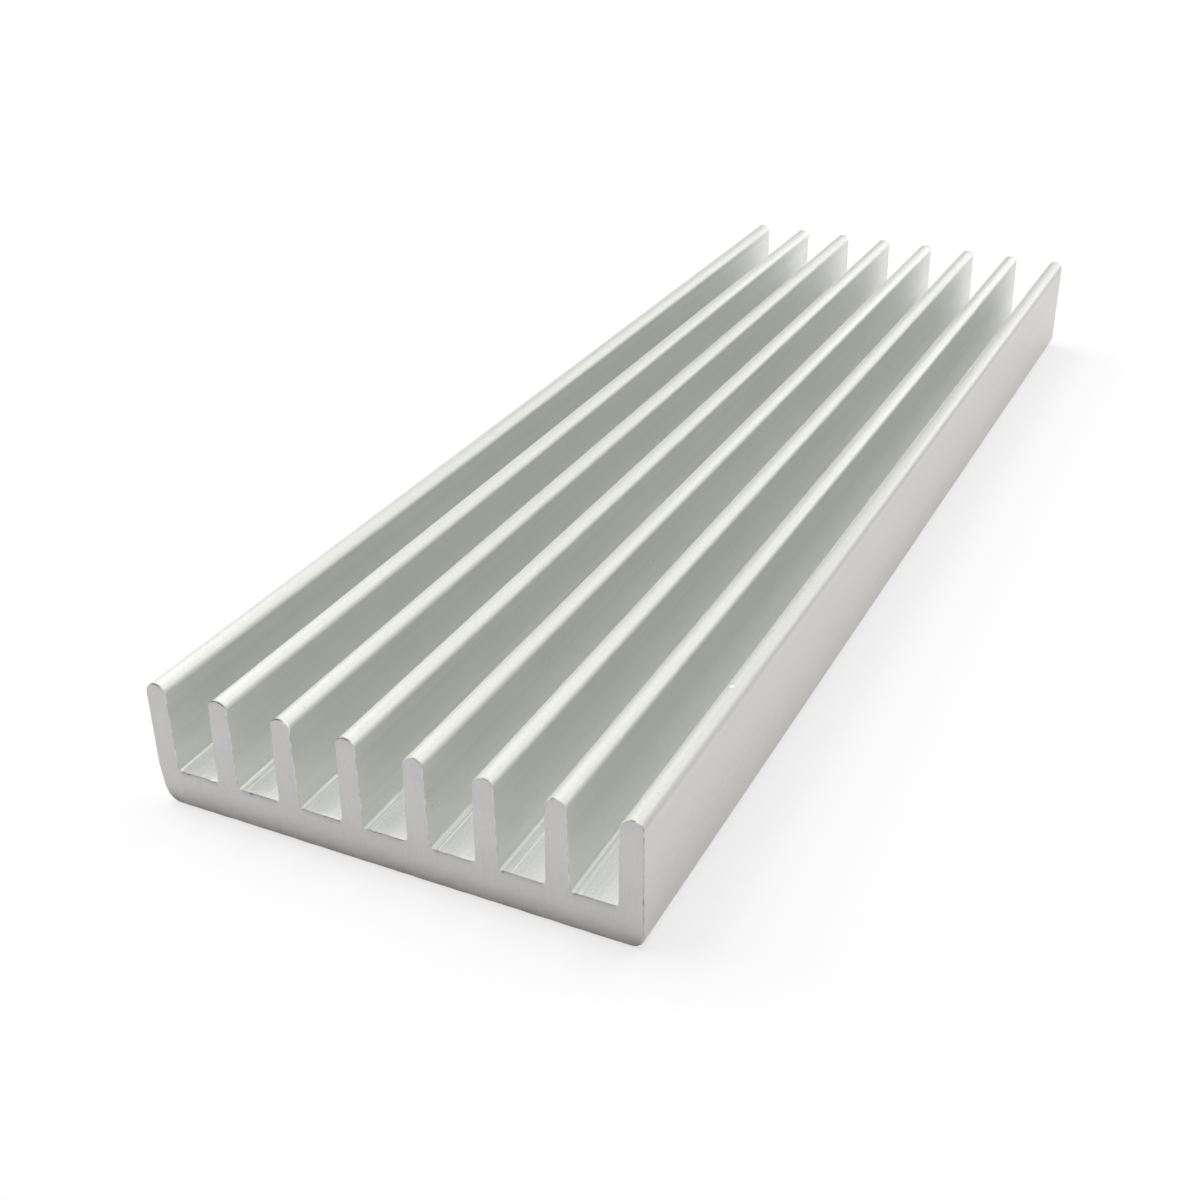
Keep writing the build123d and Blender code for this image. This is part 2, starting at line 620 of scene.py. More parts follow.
# What the outline's own places add to the skin's tone: painted shade in the die lines' grooves and painted
# highlight on their rises, and painted shade over each fin tip's highlight, most on the last fin's, which
# makes it duller than the rest
toneOf = {
    # die lines: painted shade in the grooves, painted highlight on the rises
    "lineTone": 0.032,                 # height of a die line that shows fully light
    "grooveShade": 0.2,
    # painted shade over the tips' highlight, more on the last fin
    "tip": 0.04,
    "lastTip": 0.13,
    "tipSpan": (5, 25, 70, 92),        # degrees round a tip: from none to full and back to none
}


def paintedTipShade(point):
    # painted shade over the upper right of a fin tip, where its highlight falls, which dulls it
    if point["place"] != "tip":
        return 0
    start, full, fading, end = toneOf["tipSpan"]
    turn = tipTurn(point)
    share = min(1, max(0, (turn - start) / (full - start)), max(0, (end - turn) / (end - fading)))
    last = point["index"] == profile["finCount"] - 1
    return share * toneOf["lastTip" if last else "tip"]


def skinPoint(surface, i, y):
    # place, darkness and lightness of the skin at one outline point and one place along the part
    point = surface["outline"][i]
    nearEnd = y < 0
    side = -1 if nearEnd else 1
    depth = halfLength - abs(y)
    edge = surface["edges"][nearEnd][i]
    dent, markTone = markAt(point, y)
    offset = surface["rise"][i] - dent + edgeOffset(edge, depth)
    normal = surface["normals"][i]
    x = min(max(point["x"] + normal[0] * offset, -halfWidth), halfWidth)
    z = min(max(point["z"] + normal[1] * offset, 0), height)
    inset = sawCut["inset"] * max(0, 1 - depth / sawCut["insetRun"])
    if depth == 0:
        inset += cutRelief(x, z, nearEnd)
    elif depth < sawCut["lipRun"]:
        inset -= edge["lip"] * sawCut["lipForward"]
    place = side * min(halfLength, halfLength - depth - inset)
    # painted shade in die-line grooves, painted highlight on their rises
    line = surface["lines"][i] / toneOf["lineTone"]
    share = rimShare(edge, depth)
    lineTone = toneOf["grooveShade"] * min(1, max(0, -line))
    dark = max(edge["dark"] * share, markTone, lineTone, paintedTipShade(point))
    light = max(edge["light"] * share, -markTone, min(1, max(0, line)))
    return (x, place, z), dark, light


def buildHeatSink():
    outline = heatSinkOutline()
    spans = markSpans()
    rows = rowPlaces(spans)
    around = len(outline)
    lines = [dieLineHeight(point) for point in outline]
    surface = {
        "outline": outline,
        "normals": outwardNormals(outline),
        "lines": lines,
        "rise": [line + shoulderRise(point) for line, point in zip(lines, outline)],
        "edges": {near: [cutEdge(point, near) for point in outline] for near in (True, False)},
    }
    vertices, darkness, lightness = [], [], []

    def addPoint(i, y):
        place, dark, light = skinPoint(surface, i, y)
        vertices.append(place)
        darkness.append(dark)
        lightness.append(light)
        return len(vertices) - 1

    for y in rows:
        for i in range(around):
            addPoint(i, y)
    faces = []
    for row in range(len(rows) - 1):
        span = next((span for span in spans if span["low"] == rows[row]), None)
        runs = markColumns(outline, span) if span else []
        faces += stripFaces(around, row, rows, runs, addPoint)
    skinFaces = len(faces)
    faceShade = {}
    for nearEnd in (True, False):
        row = 0 if nearEnd else len(rows) - 1
        for i in range(around):
            faceShade[row * around + i] = surface["edges"][nearEnd][i]["shade"]
        faces += cutFaces(vertices, around, row, nearEnd)

    mesh = bpy.data.meshes.new("heatSink")
    mesh.from_pydata([(x * mm, y * mm, z * mm) for x, y, z in vertices], [], faces)
    for polygon in mesh.polygons:
        polygon.use_smooth = True
        polygon.material_index = 0 if polygon.index < skinFaces else 1
    paintTones(mesh, darkness, lightness, faceShade)
    mesh.set_sharp_from_angle(angle=math.radians(sharpAngle))
    mesh.validate()
    piece = bpy.data.objects.new("heatSink", mesh)
    bpy.context.scene.collection.objects.link(piece)
    triangles = sum(len(polygon.vertices) - 2 for polygon in mesh.polygons)
    print("heat sink:", around, "points round,", len(rows), "rows,", triangles, "triangles")
    return piece


def paintTones(mesh, darkness, lightness, faceShade):
    # what the materials read: dark and light places of the skin, much of them painted shade and painted
    # highlight, and the cut faces' painted shade at their rims
    dark = mesh.attributes.new("edgeDark", "FLOAT", "CORNER")
    light = mesh.attributes.new("edgeLight", "FLOAT", "CORNER")
    for polygon in mesh.polygons:
        onSkin = polygon.material_index == 0
        for corner in polygon.loop_indices:
            vertex = mesh.loops[corner].vertex_index
            dark.data[corner].value = darkness[vertex] if onSkin else faceShade.get(vertex, 0)
            light.data[corner].value = lightness[vertex] if onSkin else 0


def stripFaces(around, row, rows, runs, addPoint):
    # the skin between two rows, with a fine grid of its own in each run of marked columns
    here, after = row * around, (row + 1) * around
    low, high = rows[row], rows[row + 1]
    between = []
    if runs:
        count = math.ceil((high - low) / markGrid["step"])
        between = [low + (high - low) * k / count for k in range(1, count)]
    columns = {}
    for first, last in runs:
        for i in range(first, last + 1):
            columns[i] = [here + i] + [addPoint(i, y) for y in between] + [after + i]
    faces = []
    for i in range(around):
        j = (i + 1) % around
        left = columns.get(i, [here + i, after + i])
        right = columns.get(j, [here + j, after + j])
        if len(left) == len(right):
            for k in range(len(left) - 1):
                faces.append((left[k], left[k + 1], right[k + 1], right[k]))
        else:
            faces.append((*left, *right[::-1]))
    return faces


def cutFaces(vertices, around, row, nearEnd):
    # the cut face: the rim's own points and a grid inside, with a slight relief
    first = row * around
    rim = [Vector((vertices[first + i][0], vertices[first + i][2])) for i in range(around)]
    ringEdges = [(i, (i + 1) % around) for i in range(around)]
    inside, tolerance = 1, 1e-7   # keep what lies inside the rim, and points this near are one
    flat, _, triangles, origins, _, _ = delaunay_2d_cdt(
        rim + cutFacePoints(), ringEdges, [], inside, tolerance)
    side = -1 if nearEnd else 1
    numbers = []
    for i, place in enumerate(flat):
        if origins[i] and origins[i][0] < around:
            numbers.append(first + origins[i][0])
            continue
        numbers.append(len(vertices))
        inset = sawCut["inset"] + cutRelief(place.x, place.y, nearEnd)
        vertices.append((place.x, side * (halfLength - inset), place.y))
    faces = []
    for triangle in triangles:
        face = [numbers[i] for i in triangle]
        faces.append(face if nearEnd else face[::-1])
    return faces


def cutFacePoints():
    # the grid inside the rim, each second row half a step along
    step = sawnFace["step"]
    fins = [finShape(i) for i in range(profile["finCount"])]
    points = []
    for row in range(int(height / step)):
        z = (row + 0.5) * step
        for column in range(int(2 * halfWidth / step)):
            x = -halfWidth + (column + 0.5 + 0.5 * (row % 2)) * step
            if insideSection(x, z, fins, sawnFace["margin"]):
                points.append(Vector((x, z)))
    return points


def insideSection(x, z, fins, margin):
    floorZ = profile["floorHeight"]
    if z < margin:
        return False
    if z < floorZ - margin:
        lean = max(0, floorZ - z) * math.tan(math.radians(profile["leftLean"]))
        left = profile["leftCorner"] if z < profile["leftCorner"] else margin
        right = profile["rightCorner"] if z < profile["rightCorner"] else margin
        return -halfWidth + lean + left < x < halfWidth - right
    for fin in fins:
        rise = z - floorZ
        left = fin["foot"] + rise * math.tan(fin["left"]) + margin
        right = fin["foot"] + profile["finRoot"] - rise * math.tan(fin["right"]) - margin
        if left < x < right:
            tipZ = height - fin["radius"]
            return z < tipZ or math.hypot(x - fin["centre"], z - tipZ) < fin["radius"] - margin
    return False


def newGroup(name, inputs, outputs):
    # an empty node group with its sockets, and its input and output nodes
    tree = bpy.data.node_groups.new(name, "ShaderNodeTree")
    for label, value in inputs.items():
        kind = "NodeSocketVector" if isinstance(value, tuple) else "NodeSocketFloat"
        socket = tree.interface.new_socket(label, in_out="INPUT", socket_type=kind)
        socket.default_value = value
    for label in outputs:
        tree.interface.new_socket(label, in_out="OUTPUT", socket_type="NodeSocketFloat")
    return tree, tree.nodes.new("NodeGroupInput"), tree.nodes.new("NodeGroupOutput")


def addNode(tree, kind, values=None, **settings):
    node = tree.nodes.new("ShaderNode" + kind)
    for key, value in settings.items():
        setattr(node, key, value)
    for key, value in (values or {}).items():
        if isinstance(value, bpy.types.NodeSocket):
            tree.links.new(value, node.inputs[key])
        else:
            node.inputs[key].default_value = value
    return node


def calculate(tree, operation, first, second=0.0, clamp=False):
    return addNode(tree, "Math", {0: first, 1: second}, operation=operation, use_clamp=clamp).outputs[0]


def remap(tree, value, fromLow, fromHigh, toLow=0.0, toHigh=1.0, smooth=True):
    node = addNode(tree, "MapRange", {
        "Value": value, "From Min": fromLow, "From Max": fromHigh, "To Min": toLow, "To Max": toHigh,
    }, interpolation_type="SMOOTHSTEP" if smooth else "LINEAR")
    return node.outputs["Result"]


def mixColours(tree, share, first, second):
    node = addNode(tree, "Mix", data_type="RGBA")
    for index, value in ((0, share), (6, first), (7, second)):
        if isinstance(value, bpy.types.NodeSocket):
            tree.links.new(value, node.inputs[index])
        elif index == 0:
            node.inputs[index].default_value = value
        else:
            node.inputs[index].default_value = (*value, 1)
    return node.outputs[2]


def layer(tree, below, mask, share, colour):
    # a colour laid over another where the mask is, up to a share
    return mixColours(tree, calculate(tree, "MULTIPLY", mask, share), below, colour)


def useGroup(tree, group, **values):
    node = tree.nodes.new("ShaderNodeGroup")
    node.node_tree = group
    for key, value in values.items():
        node.inputs[key].default_value = value
    return node


# How each pattern is drawn out along the part, and from which noise value to which it goes from
# nothing to full
patterns = {
    "streakDraw": 0.004,
    "fineShare": 0.65,         # of fine and coarse streaks in the sum
    "coarseShare": 0.35,
    "coarse": 0.31,            # fineness of the coarse streaks and the bands beside the fine ones
    "broad": 0.24,
    "streaks": (0.32, 0.68),
    "lines": (0.66, 0.78),
    "bands": (0.36, 0.64),
    "cloudDraw": 0.35,
    "clouds": (0.3, 0.7),
    "grainDraw": 0.6,
    "grain": (0.34, 0.66),
    "scratch": (0.2, 1.0),     # in widths, from full to nothing
    "bladeCentre": (-0.150, 0, -0.012),   # metres
    "bladeWander": 300.0,
    "arcs": (0.3, 0.7),
}


def drawnPlace(tree, draw):
    # the place on the object, with the length squeezed so that a pattern draws out along it
    place = addNode(tree, "TexCoord").outputs["Object"]
    return addNode(tree, "Mapping", {"Vector": place, "Scale": (1, draw, 1)}).outputs[0]


def streaksGroup():
    # fine lines that run along the extrusion, as the die drags them
    tree, given, result = newGroup("extrusionStreaks", {"Fineness": 3000.0}, ["Streaks", "Lines", "Bands"])
    drawn = drawnPlace(tree, patterns["streakDraw"])
    fine = addNode(tree, "TexNoise", {"Vector": drawn, "Scale": given.outputs["Fineness"],
                                      "Detail": 3.0, "Roughness": 0.6}).outputs["Fac"]
    coarseScale = calculate(tree, "MULTIPLY", given.outputs["Fineness"], patterns["coarse"])
    coarse = addNode(tree, "TexNoise", {"Vector": drawn, "Scale": coarseScale,
                                        "Detail": 1.0}).outputs["Fac"]
    both = calculate(tree, "ADD", calculate(tree, "MULTIPLY", fine, patterns["fineShare"]),
                     calculate(tree, "MULTIPLY", coarse, patterns["coarseShare"]))
    broadScale = calculate(tree, "MULTIPLY", given.outputs["Fineness"], patterns["broad"])
    broad = addNode(tree, "TexNoise", {"Vector": drawn, "Scale": broadScale, "Detail": 1.5}).outputs["Fac"]
    tree.links.new(remap(tree, both, *patterns["streaks"]), result.inputs["Streaks"])
    tree.links.new(remap(tree, fine, *patterns["lines"]), result.inputs["Lines"])
    tree.links.new(remap(tree, broad, *patterns["bands"]), result.inputs["Bands"])
    return tree


def noiseGroup(name, label, size, draw, contrast):
    # a group that holds one soft noise
    tree, given, result = newGroup(name, {"Size": size}, [label])
    scale = calculate(tree, "DIVIDE", 1.0, given.outputs["Size"])
    drawn = drawnPlace(tree, draw)
    made = addNode(tree, "TexNoise", {"Vector": drawn, "Scale": scale, "Detail": 2.0}).outputs["Fac"]
    tree.links.new(remap(tree, made, *contrast), result.inputs[label])
    return tree


def cloudsGroup():
    # soft uneven patches, as on handled mill-finish metal
    return noiseGroup("softClouds", "Clouds", 0.006, patterns["cloudDraw"], patterns["clouds"])


def grainGroup():
    # the fine grain of a matt surface
    return noiseGroup("fineGrain", "Grain", 0.0002, patterns["grainDraw"], patterns["grain"])


def scratchGroup():
    # a thin mark along a straight run between two places
    tree, given, result = newGroup("scratch", {"Start": (0.0, 0.0, 0.0), "End": (0.0, 0.0, 1.0),
                                               "Width": 0.00005}, ["Mask"])
    place = addNode(tree, "TexCoord").outputs["Object"]
    start, end = given.outputs["Start"], given.outputs["End"]
    ahead = addNode(tree, "VectorMath", {0: place, 1: start}, operation="SUBTRACT").outputs[0]
    run = addNode(tree, "VectorMath", {0: end, 1: start}, operation="SUBTRACT").outputs[0]
    gone = addNode(tree, "VectorMath", {0: ahead, 1: run}, operation="DOT_PRODUCT").outputs["Value"]
    whole = addNode(tree, "VectorMath", {0: run, 1: run}, operation="DOT_PRODUCT").outputs["Value"]
    share = calculate(tree, "DIVIDE", gone, whole, clamp=True)
    nearest = addNode(tree, "VectorMath", {0: run, "Scale": share}, operation="SCALE").outputs[0]
    away = addNode(tree, "VectorMath", {0: ahead, 1: nearest}, operation="DISTANCE").outputs["Value"]
    widths = calculate(tree, "DIVIDE", away, given.outputs["Width"])
    tree.links.new(remap(tree, widths, *patterns["scratch"], 1.0, 0.0), result.inputs["Mask"])
    return tree


def pitsGroup():
    # a few small specks and pits, most cells of the pattern left empty
    tree, given, result = newGroup("smallPits", {"Spacing": 0.0016, "Share": 0.15, "Size": 0.1}, ["Pits"])
    place = addNode(tree, "TexCoord").outputs["Object"]
    scale = calculate(tree, "DIVIDE", 1.0, given.outputs["Spacing"])
    cells = addNode(tree, "TexVoronoi", {"Vector": place, "Scale": scale})
    chosen = addNode(tree, "SeparateColor", {0: cells.outputs["Color"]}).outputs[0]
    kept = calculate(tree, "LESS_THAN", chosen, given.outputs["Share"])
    away = calculate(tree, "DIVIDE", cells.outputs["Distance"], given.outputs["Size"])
    spot = calculate(tree, "SUBTRACT", 1.0, away, clamp=True)
    tree.links.new(calculate(tree, "MULTIPLY", spot, kept), result.inputs["Pits"])
    return tree


def sawArcsGroup():
    # faint arcs of a saw blade whose centre lies well off the part
    tree, given, result = newGroup("sawArcs", {"Pitch": 0.0004}, ["Arcs"])
    place = addNode(tree, "TexCoord").outputs["Object"]
    flat = addNode(tree, "VectorMath", {0: place, 1: (1, 0, 1)}, operation="MULTIPLY").outputs[0]
    away = addNode(tree, "VectorMath", {0: flat, 1: patterns["bladeCentre"]},
                   operation="DISTANCE").outputs["Value"]
    turns = calculate(tree, "DIVIDE", away, given.outputs["Pitch"])
    wander = addNode(tree, "TexNoise", {"Vector": flat, "Scale": patterns["bladeWander"],
                                        "Detail": 1.0}).outputs["Fac"]
    around = calculate(tree, "ADD", turns, wander)
    arcs = addNode(tree, "TexNoise", {"W": around, "Scale": 1.0, "Detail": 3.0, "Roughness": 0.65},
                   noise_dimensions="1D").outputs["Fac"]
    tree.links.new(remap(tree, arcs, *patterns["arcs"]), result.inputs["Arcs"])
    return tree


def axisPlace(tree, axis):
    place = addNode(tree, "TexCoord").outputs["Object"]
    return addNode(tree, "SeparateXYZ", {0: place}).outputs[axis]


def bumpFrom(tree, shader, heightSocket, distance):
    node = addNode(tree, "Bump", {"Height": heightSocket, "Distance": distance, "Strength": 1.0})
    tree.links.new(node.outputs[0], shader.inputs["Normal"])


def bareMetal(name):
    # a material with a plain metal shader
    material = bpy.data.materials.new(name)
    material.use_nodes = True
    shader = material.node_tree.nodes["Principled BSDF"]
    shader.inputs["Metallic"].default_value = 1
    return material, material.node_tree, shader


# The skin as the die leaves it. A share with two values has the first on upright faces and the second
# on faces that look up. Sizes of patterns are in metres.
skinLook = {
    "colour": (0.85, 0.857, 0.836),
    "facingUp": (0.45, 0.95),             # upward part of the normal, from upright to looking up
    # the outer walls' colour: a little warmer, and darker as painted shade
    "outerShadeTint": (0.742, 0.723, 0.700),   # the outer walls, a little warmer
    "outerFrom": (0.25, 0.05),            # millimetres in from the side, from none of it to full
    "tipTint": (0.856, 0.864, 0.818),     # the fin tips, a little yellower
    "tipDepth": 0.75,                     # how far below the top that tint reaches, in millimetres
    "streakColour": (0.76, 0.768, 0.746),
    "streakShare": (0.07, 0.5),
    "fineness": 3200.0,
    "bandColour": (0.75, 0.758, 0.738),
    "bandShare": 0.2,
    "grainColour": (0.72, 0.725, 0.705),
    "grainShare": (0.06, 0.42),
    "grainSize": 0.00022,
    "cloudColour": (0.6, 0.6, 0.6),
    "cloudShare": 0.06,
    "cloudSize": 0.007,
    "pitColour": (0.3, 0.3, 0.29),
    "pitShare": 0.6,
    "pits": {"Spacing": 0.0021, "Share": 0.09, "Size": 0.075},
    "scratch": (0.95, 0.95, 0.94),
    # lightLine and darkRim: the painted highlight and painted shade of the edge tones, with the marks' own
    # light and dark
    "lightLine": (0.97, 0.97, 0.95),
    "darkRim": (0.07, 0.067, 0.064),
    "roughness": (0.54, 0.62),            # between and on the streaks
    "bump": 0.0000035,
    "bumpShare": (0.5, 2.0),
    "lineRise": 0.8,                      # heights beside a streak's
    "pitDepth": 3.0,
}
# Scratches that show in the photograph, on the fin sides: from and to, width and strength
scratches = [
    {"from": (-2.30, -72.03, 10.85), "to": (-2.31, -64.62, 11.56), "width": 0.05, "strength": 0.5},
    {"from": (-2.31, -64.62, 11.56), "to": (-2.31, -60.8, 11.72), "width": 0.035, "strength": 0.3},
    {"from": (4.40, -74.2, 11.2), "to": (4.39, -72.6, 11.5), "width": 0.05, "strength": 0.3},
]


def skinTint(tree, look):
    # the metal's own colour, with the tint of the fin tips, and on the outer walls a warmer tint and
    # painted shade
    sideways = calculate(tree, "ABSOLUTE", axisPlace(tree, "X"))
    outerStart, outerFull = ((halfWidth - inset) * mm for inset in look["outerFrom"])
    outer = remap(tree, sideways, outerStart, outerFull)
    tipLevel = (height - look["tipDepth"]) * mm
    atTip = remap(tree, axisPlace(tree, "Z"), tipLevel, 0.5 * (tipLevel + height * mm))
    tipped = mixColours(tree, atTip, look["colour"], look["tipTint"])
    return mixColours(tree, outer, tipped, look["outerShadeTint"])


def extrudedSkin(groups):
    look = skinLook
    material, tree, shader = bareMetal("extrudedSkin")
    streaks = useGroup(tree, groups["streaks"], Fineness=look["fineness"]).outputs
    clouds = useGroup(tree, groups["clouds"], Size=look["cloudSize"]).outputs["Clouds"]
    pits = useGroup(tree, groups["pits"], **look["pits"]).outputs["Pits"]
    grain = useGroup(tree, groups["grain"], Size=look["grainSize"]).outputs["Grain"]
    normal = addNode(tree, "NewGeometry").outputs["Normal"]
    facing = addNode(tree, "SeparateXYZ", {0: normal}).outputs["Z"]
    upward = remap(tree, facing, *look["facingUp"])
    streakShare = remap(tree, upward, 0, 1, *look["streakShare"], smooth=False)
    grainShare = remap(tree, upward, 0, 1, *look["grainShare"], smooth=False)
    bumpShare = remap(tree, upward, 0, 1, *look["bumpShare"], smooth=False)

    colour = skinTint(tree, look)
    colour = layer(tree, colour, streaks["Streaks"], streakShare, look["streakColour"])
    colour = layer(tree, colour, streaks["Bands"], look["bandShare"], look["bandColour"])
    colour = layer(tree, colour, grain, grainShare, look["grainColour"])
    colour = layer(tree, colour, clouds, look["cloudShare"], look["cloudColour"])
    colour = layer(tree, colour, pits, look["pitShare"], look["pitColour"])
    for scratch in scratches:
        mark = useGroup(tree, groups["scratch"], Width=scratch["width"] * mm,
                        Start=[v * mm for v in scratch["from"]], End=[v * mm for v in scratch["to"]])
        colour = layer(tree, colour, mark.outputs["Mask"], scratch["strength"], look["scratch"])
    # edgeLight: painted highlight on a bright burr and on the die lines' rises, with the light specks of
    # marks
    light = addNode(tree, "Attribute", attribute_name="edgeLight").outputs["Fac"]
    colour = mixColours(tree, light, colour, look["lightLine"])
    # edgeDark: painted shade at the cut rims, in die-line grooves and over the tips' highlight, with the
    # dark rims of the fin sides, bruises and marks
    dark = addNode(tree, "Attribute", attribute_name="edgeDark").outputs["Fac"]
    colour = mixColours(tree, dark, colour, look["darkRim"])
    tree.links.new(colour, shader.inputs["Base Color"])

    rough = remap(tree, streaks["Streaks"], 0, 1, *look["roughness"], smooth=False)
    tree.links.new(rough, shader.inputs["Roughness"])
    lines = calculate(tree, "MULTIPLY", streaks["Lines"], look["lineRise"])
    rise = calculate(tree, "ADD", streaks["Streaks"], lines)
    raised = calculate(tree, "MULTIPLY", rise, bumpShare)
    sunk = calculate(tree, "SUBTRACT", raised, calculate(tree, "MULTIPLY", pits, look["pitDepth"]))
    bumpFrom(tree, shader, sunk, look["bump"])
    return material


# The cut ends, with painted shade that darkens them towards the underside's edge. Pattern sizes are in
# metres.
sawnLook = {
    "colour": (0.706, 0.697, 0.685),
    "arcColour": (0.692, 0.683, 0.671),
    "arcPitch": 0.00035,
    "grainColour": (0.65, 0.642, 0.632),
    "grainShare": 0.36,
    "grainSize": 0.00025,
    "cloudColour": (0.45, 0.44, 0.44),
    "cloudShare": 0.08,
    "cloudSize": 0.004,
    "pitColour": (0.3, 0.3, 0.3),
    "pitShare": 0.4,
    "pits": {"Spacing": 0.0013, "Share": 0.12, "Size": 0.11},
    # painted shade towards the underside's edge, standing in for a contact shadow and the dark ground
    # reflected there
    "footShade": (0.38, 0.352, 0.347),
    "footShadeShare": 0.9,
    "footShadeHeight": 2.8,                   # millimetres, and so is its wander
    "footShadeWander": 0.2,
    "footShadePatches": 0.0011,
    "footShadePower": 2.2,                    # how soon it thins out above the edge
    "shade": (0.14, 0.13, 0.128),
    "roughness": 0.62,
    "bump": 0.0000006,
    "pitDepth": 3.0,
}


# painted shade: the mask that darkens the cut face towards its lowest edge, with a wandering top
def paintedFootShadeMask(tree, groups, look):
    patches = useGroup(tree, groups["clouds"], Size=look["footShadePatches"]).outputs["Clouds"]
    wanderMost = 0.5 * look["footShadeWander"] * mm
    wander = remap(tree, patches, 0, 1, -wanderMost, wanderMost, smooth=False)
    level = calculate(tree, "ADD", axisPlace(tree, "Z"), wander)
    low = remap(tree, level, 0.0, look["footShadeHeight"] * mm, 1.0, 0.0, smooth=False)
    return calculate(tree, "POWER", low, look["footShadePower"])


def sawnEnd(groups):
    look = sawnLook
    material, tree, shader = bareMetal("sawnEnd")
    shader.inputs["Roughness"].default_value = look["roughness"]
    arcs = useGroup(tree, groups["arcs"], Pitch=look["arcPitch"]).outputs["Arcs"]
    clouds = useGroup(tree, groups["clouds"], Size=look["cloudSize"]).outputs["Clouds"]
    pits = useGroup(tree, groups["pits"], **look["pits"]).outputs["Pits"]
    grain = useGroup(tree, groups["grain"], Size=look["grainSize"]).outputs["Grain"]
    colour = mixColours(tree, arcs, look["colour"], look["arcColour"])
    colour = layer(tree, colour, grain, look["grainShare"], look["grainColour"])
    colour = layer(tree, colour, clouds, look["cloudShare"], look["cloudColour"])
    colour = layer(tree, colour, pits, look["pitShare"], look["pitColour"])
    colour = layer(tree, colour, paintedFootShadeMask(tree, groups, look), look["footShadeShare"], look["footShade"])
    shade = addNode(tree, "Attribute", attribute_name="edgeDark").outputs["Fac"]
    tree.links.new(mixColours(tree, shade, colour, look["shade"]), shader.inputs["Base Color"])
    rise = calculate(tree, "SUBTRACT", arcs, calculate(tree, "MULTIPLY", pits, look["pitDepth"]))
    bumpFrom(tree, shader, rise, look["bump"])
    return material


# The photograph's own camera: place in millimetres, turn in degrees
view = {
    "place": (65.5, -165.89, 89.54),
    "azimuth": 26.226,
    "elevation": 29.684,
    "roll": -0.713,
    "lens": 48.71,
    "sensor": 36.0,
    "clip": (0.01, 60),
}


def makeCamera():
    data = bpy.data.cameras.new("camera")
    data.lens = view["lens"]
    data.sensor_width = view["sensor"]
    data.clip_start, data.clip_end = view["clip"]
    camera = bpy.data.objects.new("camera", data)
    bpy.context.scene.collection.objects.link(camera)
    turn = (
        Matrix.Rotation(math.radians(view["azimuth"]), 4, "Z")
        @ Matrix.Rotation(math.radians(90 - view["elevation"]), 4, "X")
        @ Matrix.Rotation(math.radians(view["roll"]), 4, "Z")
    )
    camera.matrix_world = Matrix.Translation(Vector(view["place"]) * mm) @ turn
    bpy.context.scene.camera = camera


# Soft boxes: place, width, height and power, all facing the part
lamps = {
    "overheadSoftbox": {"place": (0, 0, 1.0), "size": (1.0, 1.0), "power": 7.3},
    "highLeftSoftbox": {"place": (-0.9, 0.1, 1.1), "size": (1.2, 1.2), "power": 13.3},
    "highBackSoftbox": {"place": (0.2, 0.9, 1.1), "size": (1.2, 1.2), "power": 3.1},
    "lowBackSoftbox": {"place": (0.3, 1.3, 0.35), "size": (0.7, 0.7), "power": 3.65},
    "rightBackSoftbox": {"place": (0.9, 0.9, 0.5), "size": (0.9, 0.9), "power": 1.8},
}
# A glow low round the horizon: brightness there, and how high it begins to fade and is gone
sky = {"horizon": 0.6, "fadeFrom": 0.04, "fadeTo": 0.27}


def makeLight():
    bpy.context.scene.view_settings.view_transform = "Standard"
    for name, lamp in lamps.items():
        data = bpy.data.lights.new(name, "AREA")
        data.shape = "RECTANGLE"
        data.size, data.size_y = lamp["size"]
        data.energy = lamp["power"]
        softbox = bpy.data.objects.new(name, data)
        bpy.context.scene.collection.objects.link(softbox)
        softbox.location = lamp["place"]
        softbox.rotation_euler = (-Vector(lamp["place"])).to_track_quat("-Z", "Y").to_euler()
        softbox.visible_camera = False
    world = bpy.data.worlds.new("studio")
    bpy.context.scene.world = world
    world.use_nodes = True
    tree = world.node_tree
    direction = addNode(tree, "TexCoord").outputs["Generated"]
    upwards = addNode(tree, "SeparateXYZ", {0: direction}).outputs["Z"]
    fade = remap(tree, upwards, sky["fadeFrom"], sky["fadeTo"], sky["horizon"], 0.0, smooth=False)
    seen = addNode(tree, "LightPath").outputs["Is Camera Ray"]
    background = tree.nodes["Background"]
    tree.links.new(calculate(tree, "MAXIMUM", fade, seen), background.inputs["Color"])


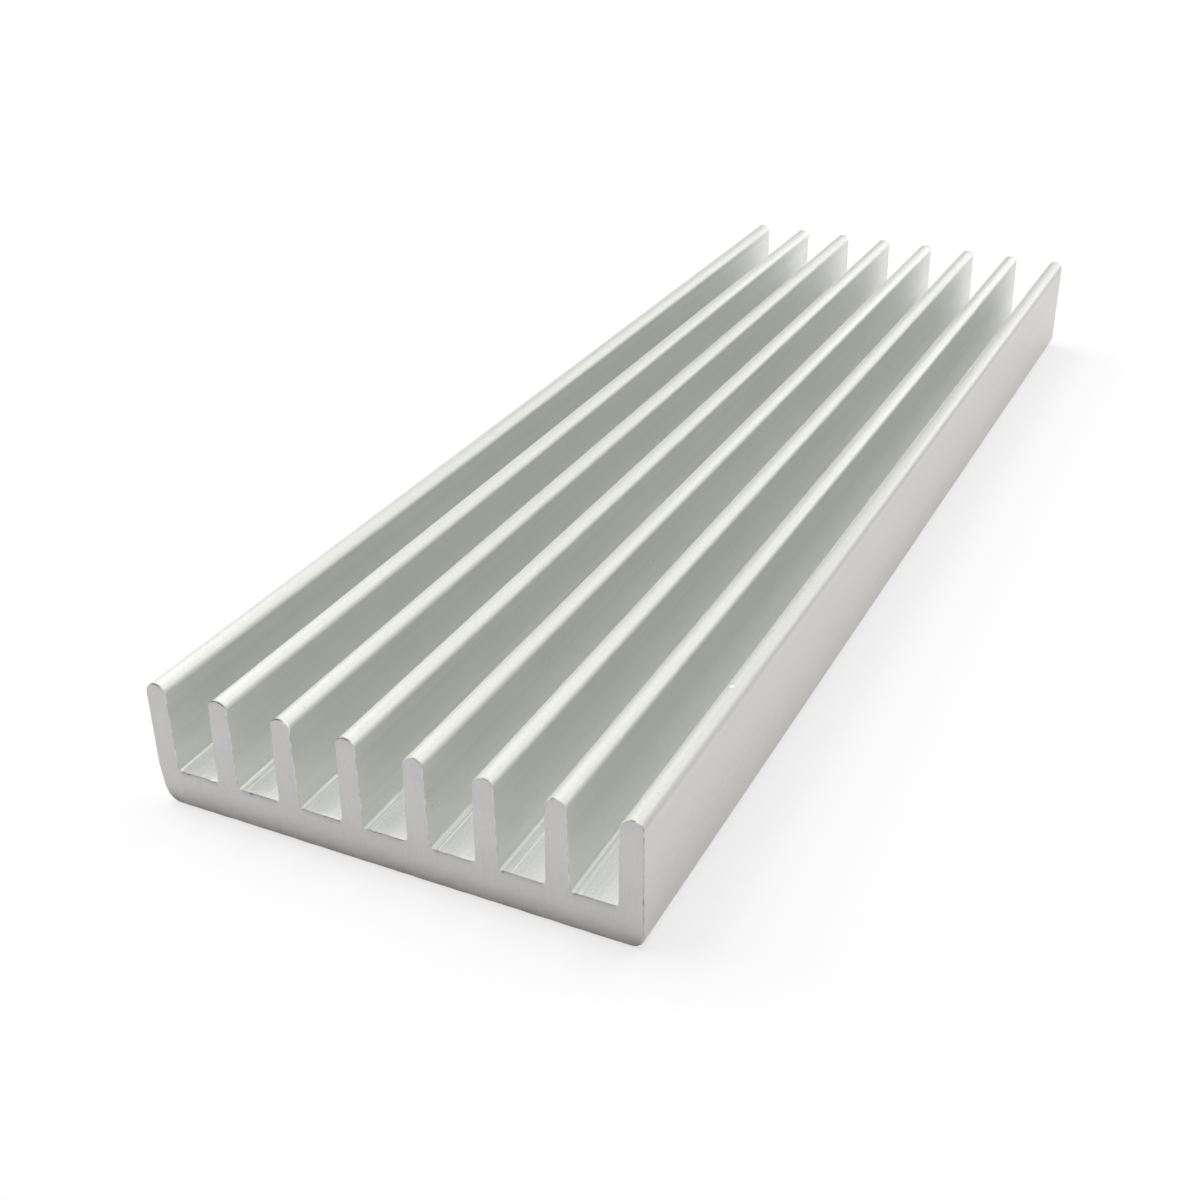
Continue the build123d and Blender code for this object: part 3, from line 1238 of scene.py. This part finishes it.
# The paper under the part: the share of plain white it shows over its lit colour, and from where to
# where, in metres from the part, it turns all white to the camera
paper = {
    "reach": 20.0,
    "level": -0.0001,
    "colour": (0.9, 0.9, 0.9, 1),
    "roughness": 0.9,
    "whiteToCamera": 0.65,
    "whiteInReflections": 0.15,
    "whiteFrom": 0.2,
    "whiteTo": 0.8,
}


def makeFloor():
    reach, level = paper["reach"], paper["level"]
    corners = [(x * reach, y * reach, level) for x, y in ((-1, -1), (1, -1), (1, 1), (-1, 1))]
    mesh = bpy.data.meshes.new("floor")
    mesh.from_pydata(corners, [], [(0, 1, 2, 3)])
    floor = bpy.data.objects.new("floor", mesh)
    bpy.context.scene.collection.objects.link(floor)
    material = bpy.data.materials.new("paperFloor")
    material.use_nodes = True
    tree = material.node_tree
    shader = tree.nodes["Principled BSDF"]
    shader.inputs["Base Color"].default_value = paper["colour"]
    shader.inputs["Roughness"].default_value = paper["roughness"]
    rays = addNode(tree, "LightPath").outputs
    mirrored = calculate(tree, "MAXIMUM", rays["Is Glossy Ray"], rays["Is Transmission Ray"])
    place = addNode(tree, "TexCoord").outputs["Object"]
    away = addNode(tree, "VectorMath", {0: place}, operation="LENGTH").outputs["Value"]
    toCamera = remap(tree, away, paper["whiteFrom"], paper["whiteTo"], paper["whiteToCamera"], 1.0)
    share = calculate(tree, "MAXIMUM",
                      calculate(tree, "MULTIPLY", rays["Is Camera Ray"], toCamera),
                      calculate(tree, "MULTIPLY", mirrored, paper["whiteInReflections"]))
    white = addNode(tree, "Emission", {"Strength": 1.0}).outputs[0]
    mixed = addNode(tree, "MixShader", {0: share, 1: shader.outputs[0], 2: white}).outputs[0]
    tree.links.new(mixed, tree.nodes["Material Output"].inputs["Surface"])
    floor.data.materials.append(material)


makeCamera()
makeLight()
makeFloor()
print("camera, light and floor ready")

shared = {
    "streaks": streaksGroup(),
    "clouds": cloudsGroup(),
    "pits": pitsGroup(),
    "grain": grainGroup(),
    "scratch": scratchGroup(),
    "arcs": sawArcsGroup(),
}
heatSink = buildHeatSink()
heatSink.data.materials.append(extrudedSkin(shared))
heatSink.data.materials.append(sawnEnd(shared))
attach(heatSink, "root")
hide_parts("heat_sink")
print("heat sink finished")
